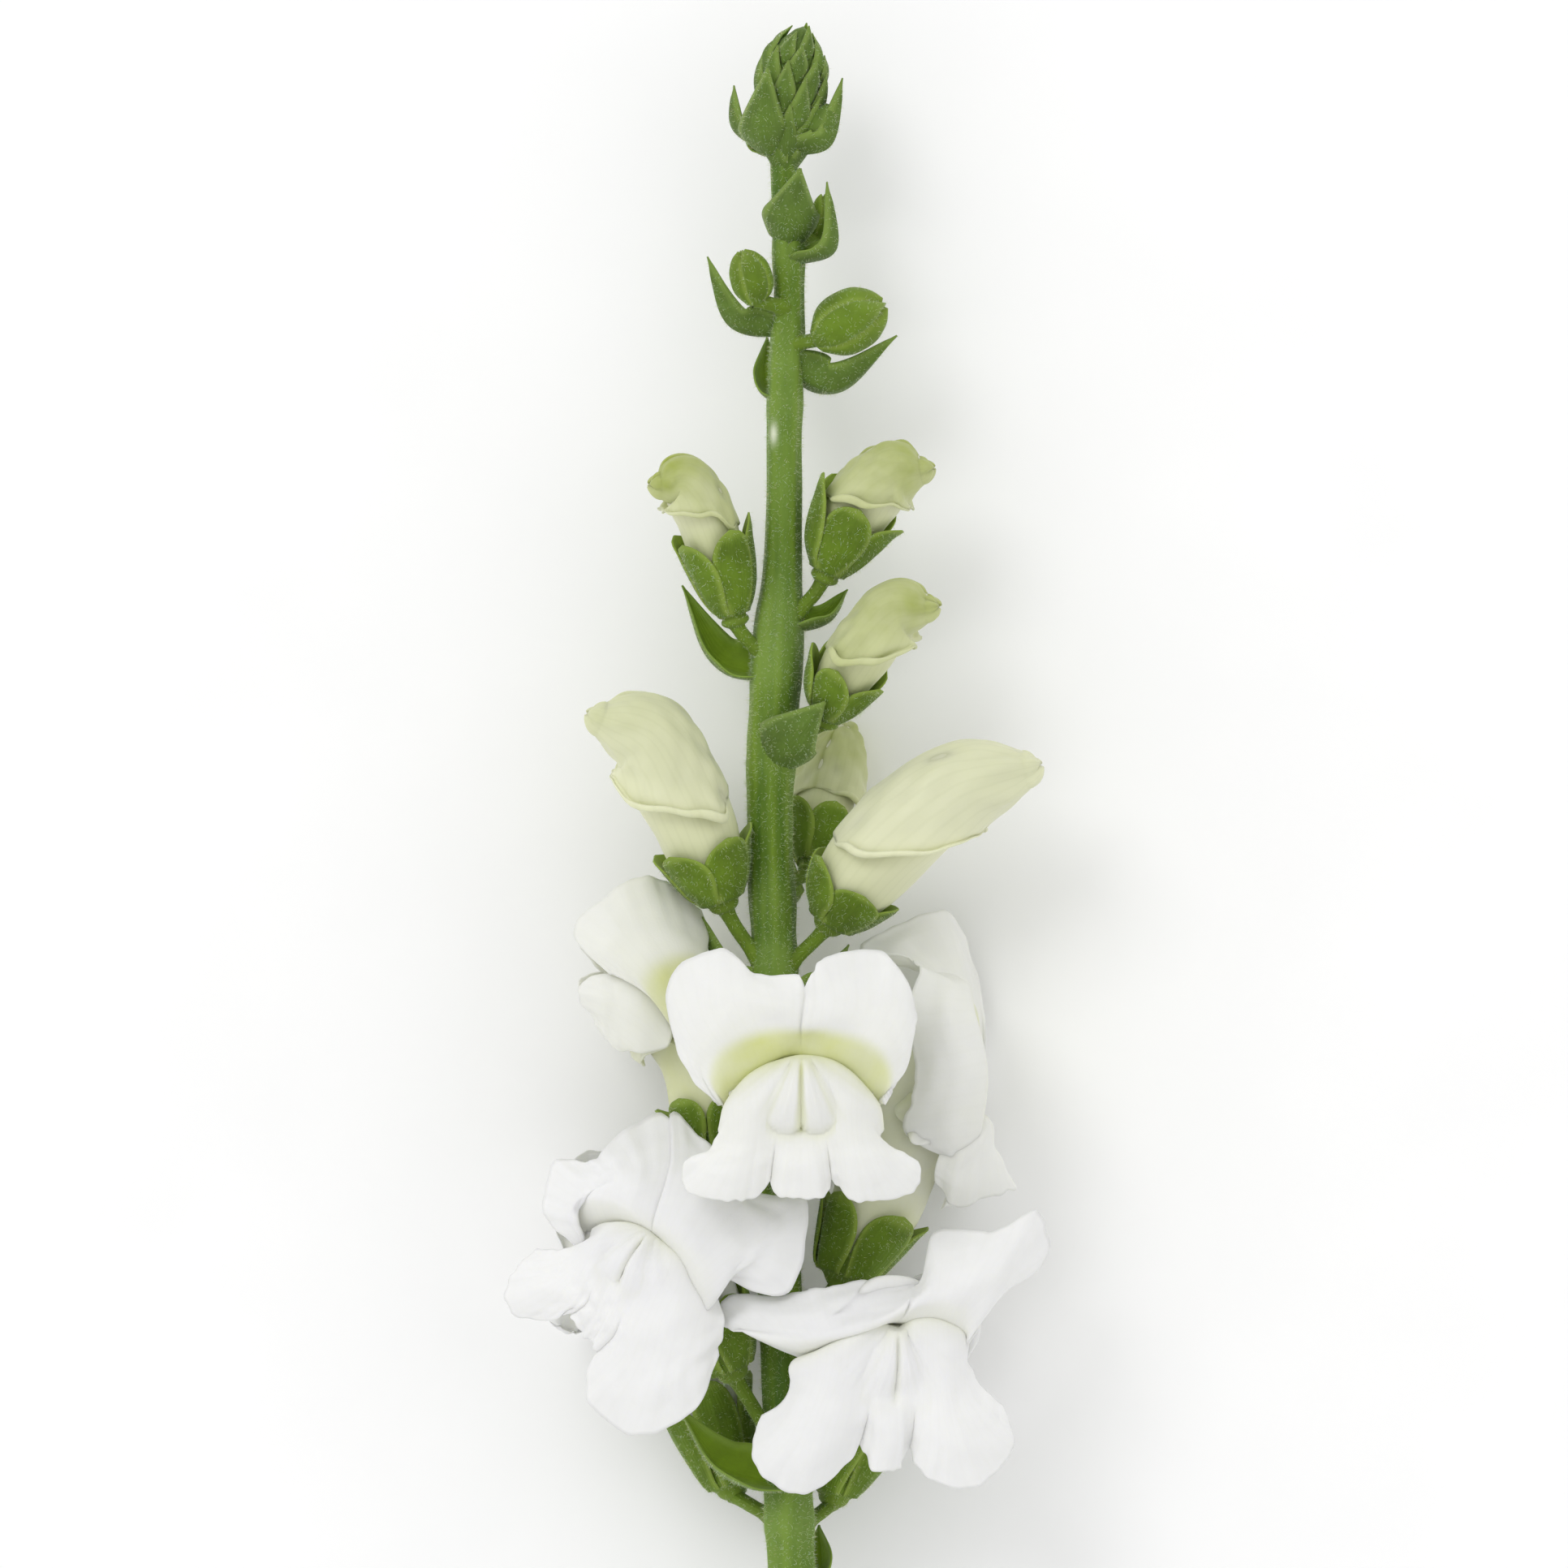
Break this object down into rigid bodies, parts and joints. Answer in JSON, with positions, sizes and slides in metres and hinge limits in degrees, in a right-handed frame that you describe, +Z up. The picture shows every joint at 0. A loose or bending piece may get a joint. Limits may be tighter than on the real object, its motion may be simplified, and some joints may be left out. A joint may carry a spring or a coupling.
{
  "type": "snapdragon stem",
  "caption": "Cut snapdragon stem with open white flowers, pale buds and a green tip, lying down for vases, bouquets and table scenes.",
  "frame": {"origin": "on the table under the middle of the lying stem's box", "axes": "+X across the stem, +Y along the stem to its tip, +Z up from the table"},
  "size_m": [0.0842, 0.2506, 0.0547],
  "materials": {
    "stem_green": "satin, ridged, with short whitish hairs",
    "sepal_green": "satin, downy, paler at the margins",
    "petal_white": "soft matte petal with a yellow-green throat",
    "bud_cream": "soft satin, cream shading to yellow-green"
  },
  "bodies": {
    "root": {"stem": "stem_green", "flower_front_petals": "petal_white", "flower_front_calyx": "sepal_green", "flower_left_petals": "petal_white", "flower_left_calyx": "sepal_green", "flower_right_petals": "petal_white", "flower_right_calyx": "sepal_green", "flower_left_front_petals": "petal_white", "flower_left_front_calyx": "sepal_green", "flower_right_front_petals": "petal_white", "flower_right_front_calyx": "sepal_green", "flower_left_back_petals": "petal_white", "flower_left_back_calyx": "sepal_green", "flower_right_back_petals": "petal_white", "flower_right_back_calyx": "sepal_green", "bud_left_high_petals": "bud_cream", "bud_left_high_calyx": "sepal_green", "bud_right_high_petals": "bud_cream", "bud_right_high_calyx": "sepal_green", "bud_right_middle_petals": "bud_cream", "bud_right_middle_calyx": "sepal_green", "bud_back_petals": "bud_cream", "bud_back_calyx": "sepal_green", "bud_left_low_petals": "bud_cream", "bud_left_low_calyx": "sepal_green", "bud_right_low_petals": "bud_cream", "bud_right_low_calyx": "sepal_green", "bud_green_left": "sepal_green", "bud_green_right": "sepal_green", "bud_green_high": "sepal_green"}
  },
  "joints": []
}
